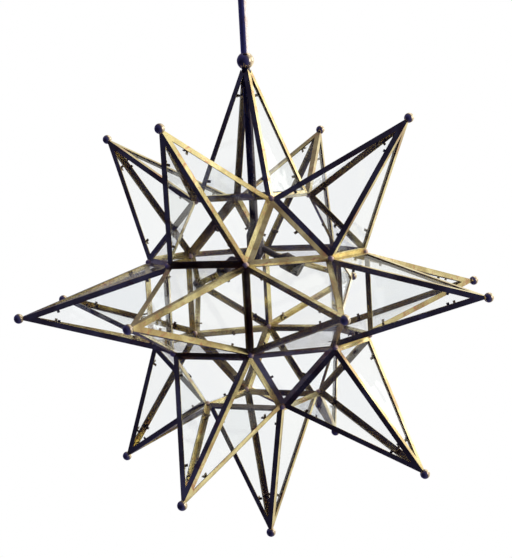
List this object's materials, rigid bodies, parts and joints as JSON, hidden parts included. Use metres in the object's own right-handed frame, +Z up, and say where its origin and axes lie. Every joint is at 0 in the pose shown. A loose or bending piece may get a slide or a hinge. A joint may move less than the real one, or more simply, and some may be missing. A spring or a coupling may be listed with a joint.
{
  "type": "moravian star pendant light",
  "caption": "Many-pointed glazed star of brass angle strips that hangs from a ceiling canopy on a rigid tube, with candle sockets inside.",
  "frame": {"origin": "on the tube's axis at the ceiling, centre of the crossbar's two screw holes", "axes": "+Z up along the tube, -Y towards the middle of a sideways point"},
  "size_m": [0.742, 0.742, 0.9212],
  "materials": {
    "antique_brass": "aged, mottled, brushed",
    "ball_brass": "dark aged, polished",
    "tab_brass": "dark aged",
    "bright_brass": "plain turned",
    "dark_bronze": "oil-rubbed, near black",
    "solder": "copper-washed solder",
    "clear_glass": "clear, polished",
    "zinc_steel": "zinc plated",
    "phenolic": "moulded"
  },
  "bodies": {
    "hanger": {"crossbar": "zinc_steel", "canopy_nipple": "bright_brass", "nipple_lock_nut": "zinc_steel", "canopy": "dark_bronze", "canopy_collar": "dark_bronze", "set_screws": "zinc_steel", "hanging_rod": "dark_bronze", "top_ball": "ball_brass", "inner_stem": "dark_bronze", "stop_collar": "dark_bronze", "hub": "dark_bronze", "hub_bottom_nut": "dark_bronze", "socket_arms": "dark_bronze", "socket_cups": "dark_bronze", "socket_inserts": "phenolic", "screw_shells": "bright_brass", "centre_contacts": "bright_brass"},
    "swivel_washer": {"swivel_washer": "bright_brass"},
    "star": {"top_point_frame": "antique_brass", "bottom_point_frame": "antique_brass", "middle_point_1_frame": "antique_brass", "middle_point_2_frame": "antique_brass", "middle_point_3_frame": "antique_brass", "middle_point_4_frame": "antique_brass", "middle_point_5_frame": "antique_brass", "middle_point_6_frame": "antique_brass", "middle_point_7_frame": "antique_brass", "middle_point_8_frame": "antique_brass", "upper_point_1_frame": "antique_brass", "upper_point_2_frame": "antique_brass", "upper_point_3_frame": "antique_brass", "upper_point_4_frame": "antique_brass", "lower_point_1_frame": "antique_brass", "lower_point_2_frame": "antique_brass", "lower_point_3_frame": "antique_brass", "lower_point_4_frame": "antique_brass", "top_point_panes": "clear_glass", "bottom_point_panes": "clear_glass", "middle_point_1_panes": "clear_glass", "middle_point_2_panes": "clear_glass", "middle_point_3_panes": "clear_glass", "middle_point_4_panes": "clear_glass", "middle_point_5_panes": "clear_glass", "middle_point_6_panes": "clear_glass", "middle_point_7_panes": "clear_glass", "middle_point_8_panes": "clear_glass", "upper_point_1_panes": "clear_glass", "upper_point_2_panes": "clear_glass", "upper_point_3_panes": "clear_glass", "upper_point_4_panes": "clear_glass", "lower_point_1_panes": "clear_glass", "lower_point_2_panes": "clear_glass", "lower_point_3_panes": "clear_glass", "lower_point_4_panes": "clear_glass", "body_edge_strips": "antique_brass", "triangle_panes": "clear_glass", "solder_beads": "solder", "tip_balls": "ball_brass", "pane_tabs": "tab_brass", "top_seat_plate": "dark_bronze"}
  },
  "joints": [
    {"name": "star_turn", "type": "hinge", "parent": "hanger", "child": "swivel_washer", "pos_m": [0, 0, -0.22], "axis": [0, 0, 1], "continuous": true},
    {"name": "star_rock", "type": "hinge", "parent": "swivel_washer", "child": "star", "pos_m": [0, 0, -0.2194], "axis": [1, 0, 0], "range_deg": [-3.5, 3.5]}
  ]
}
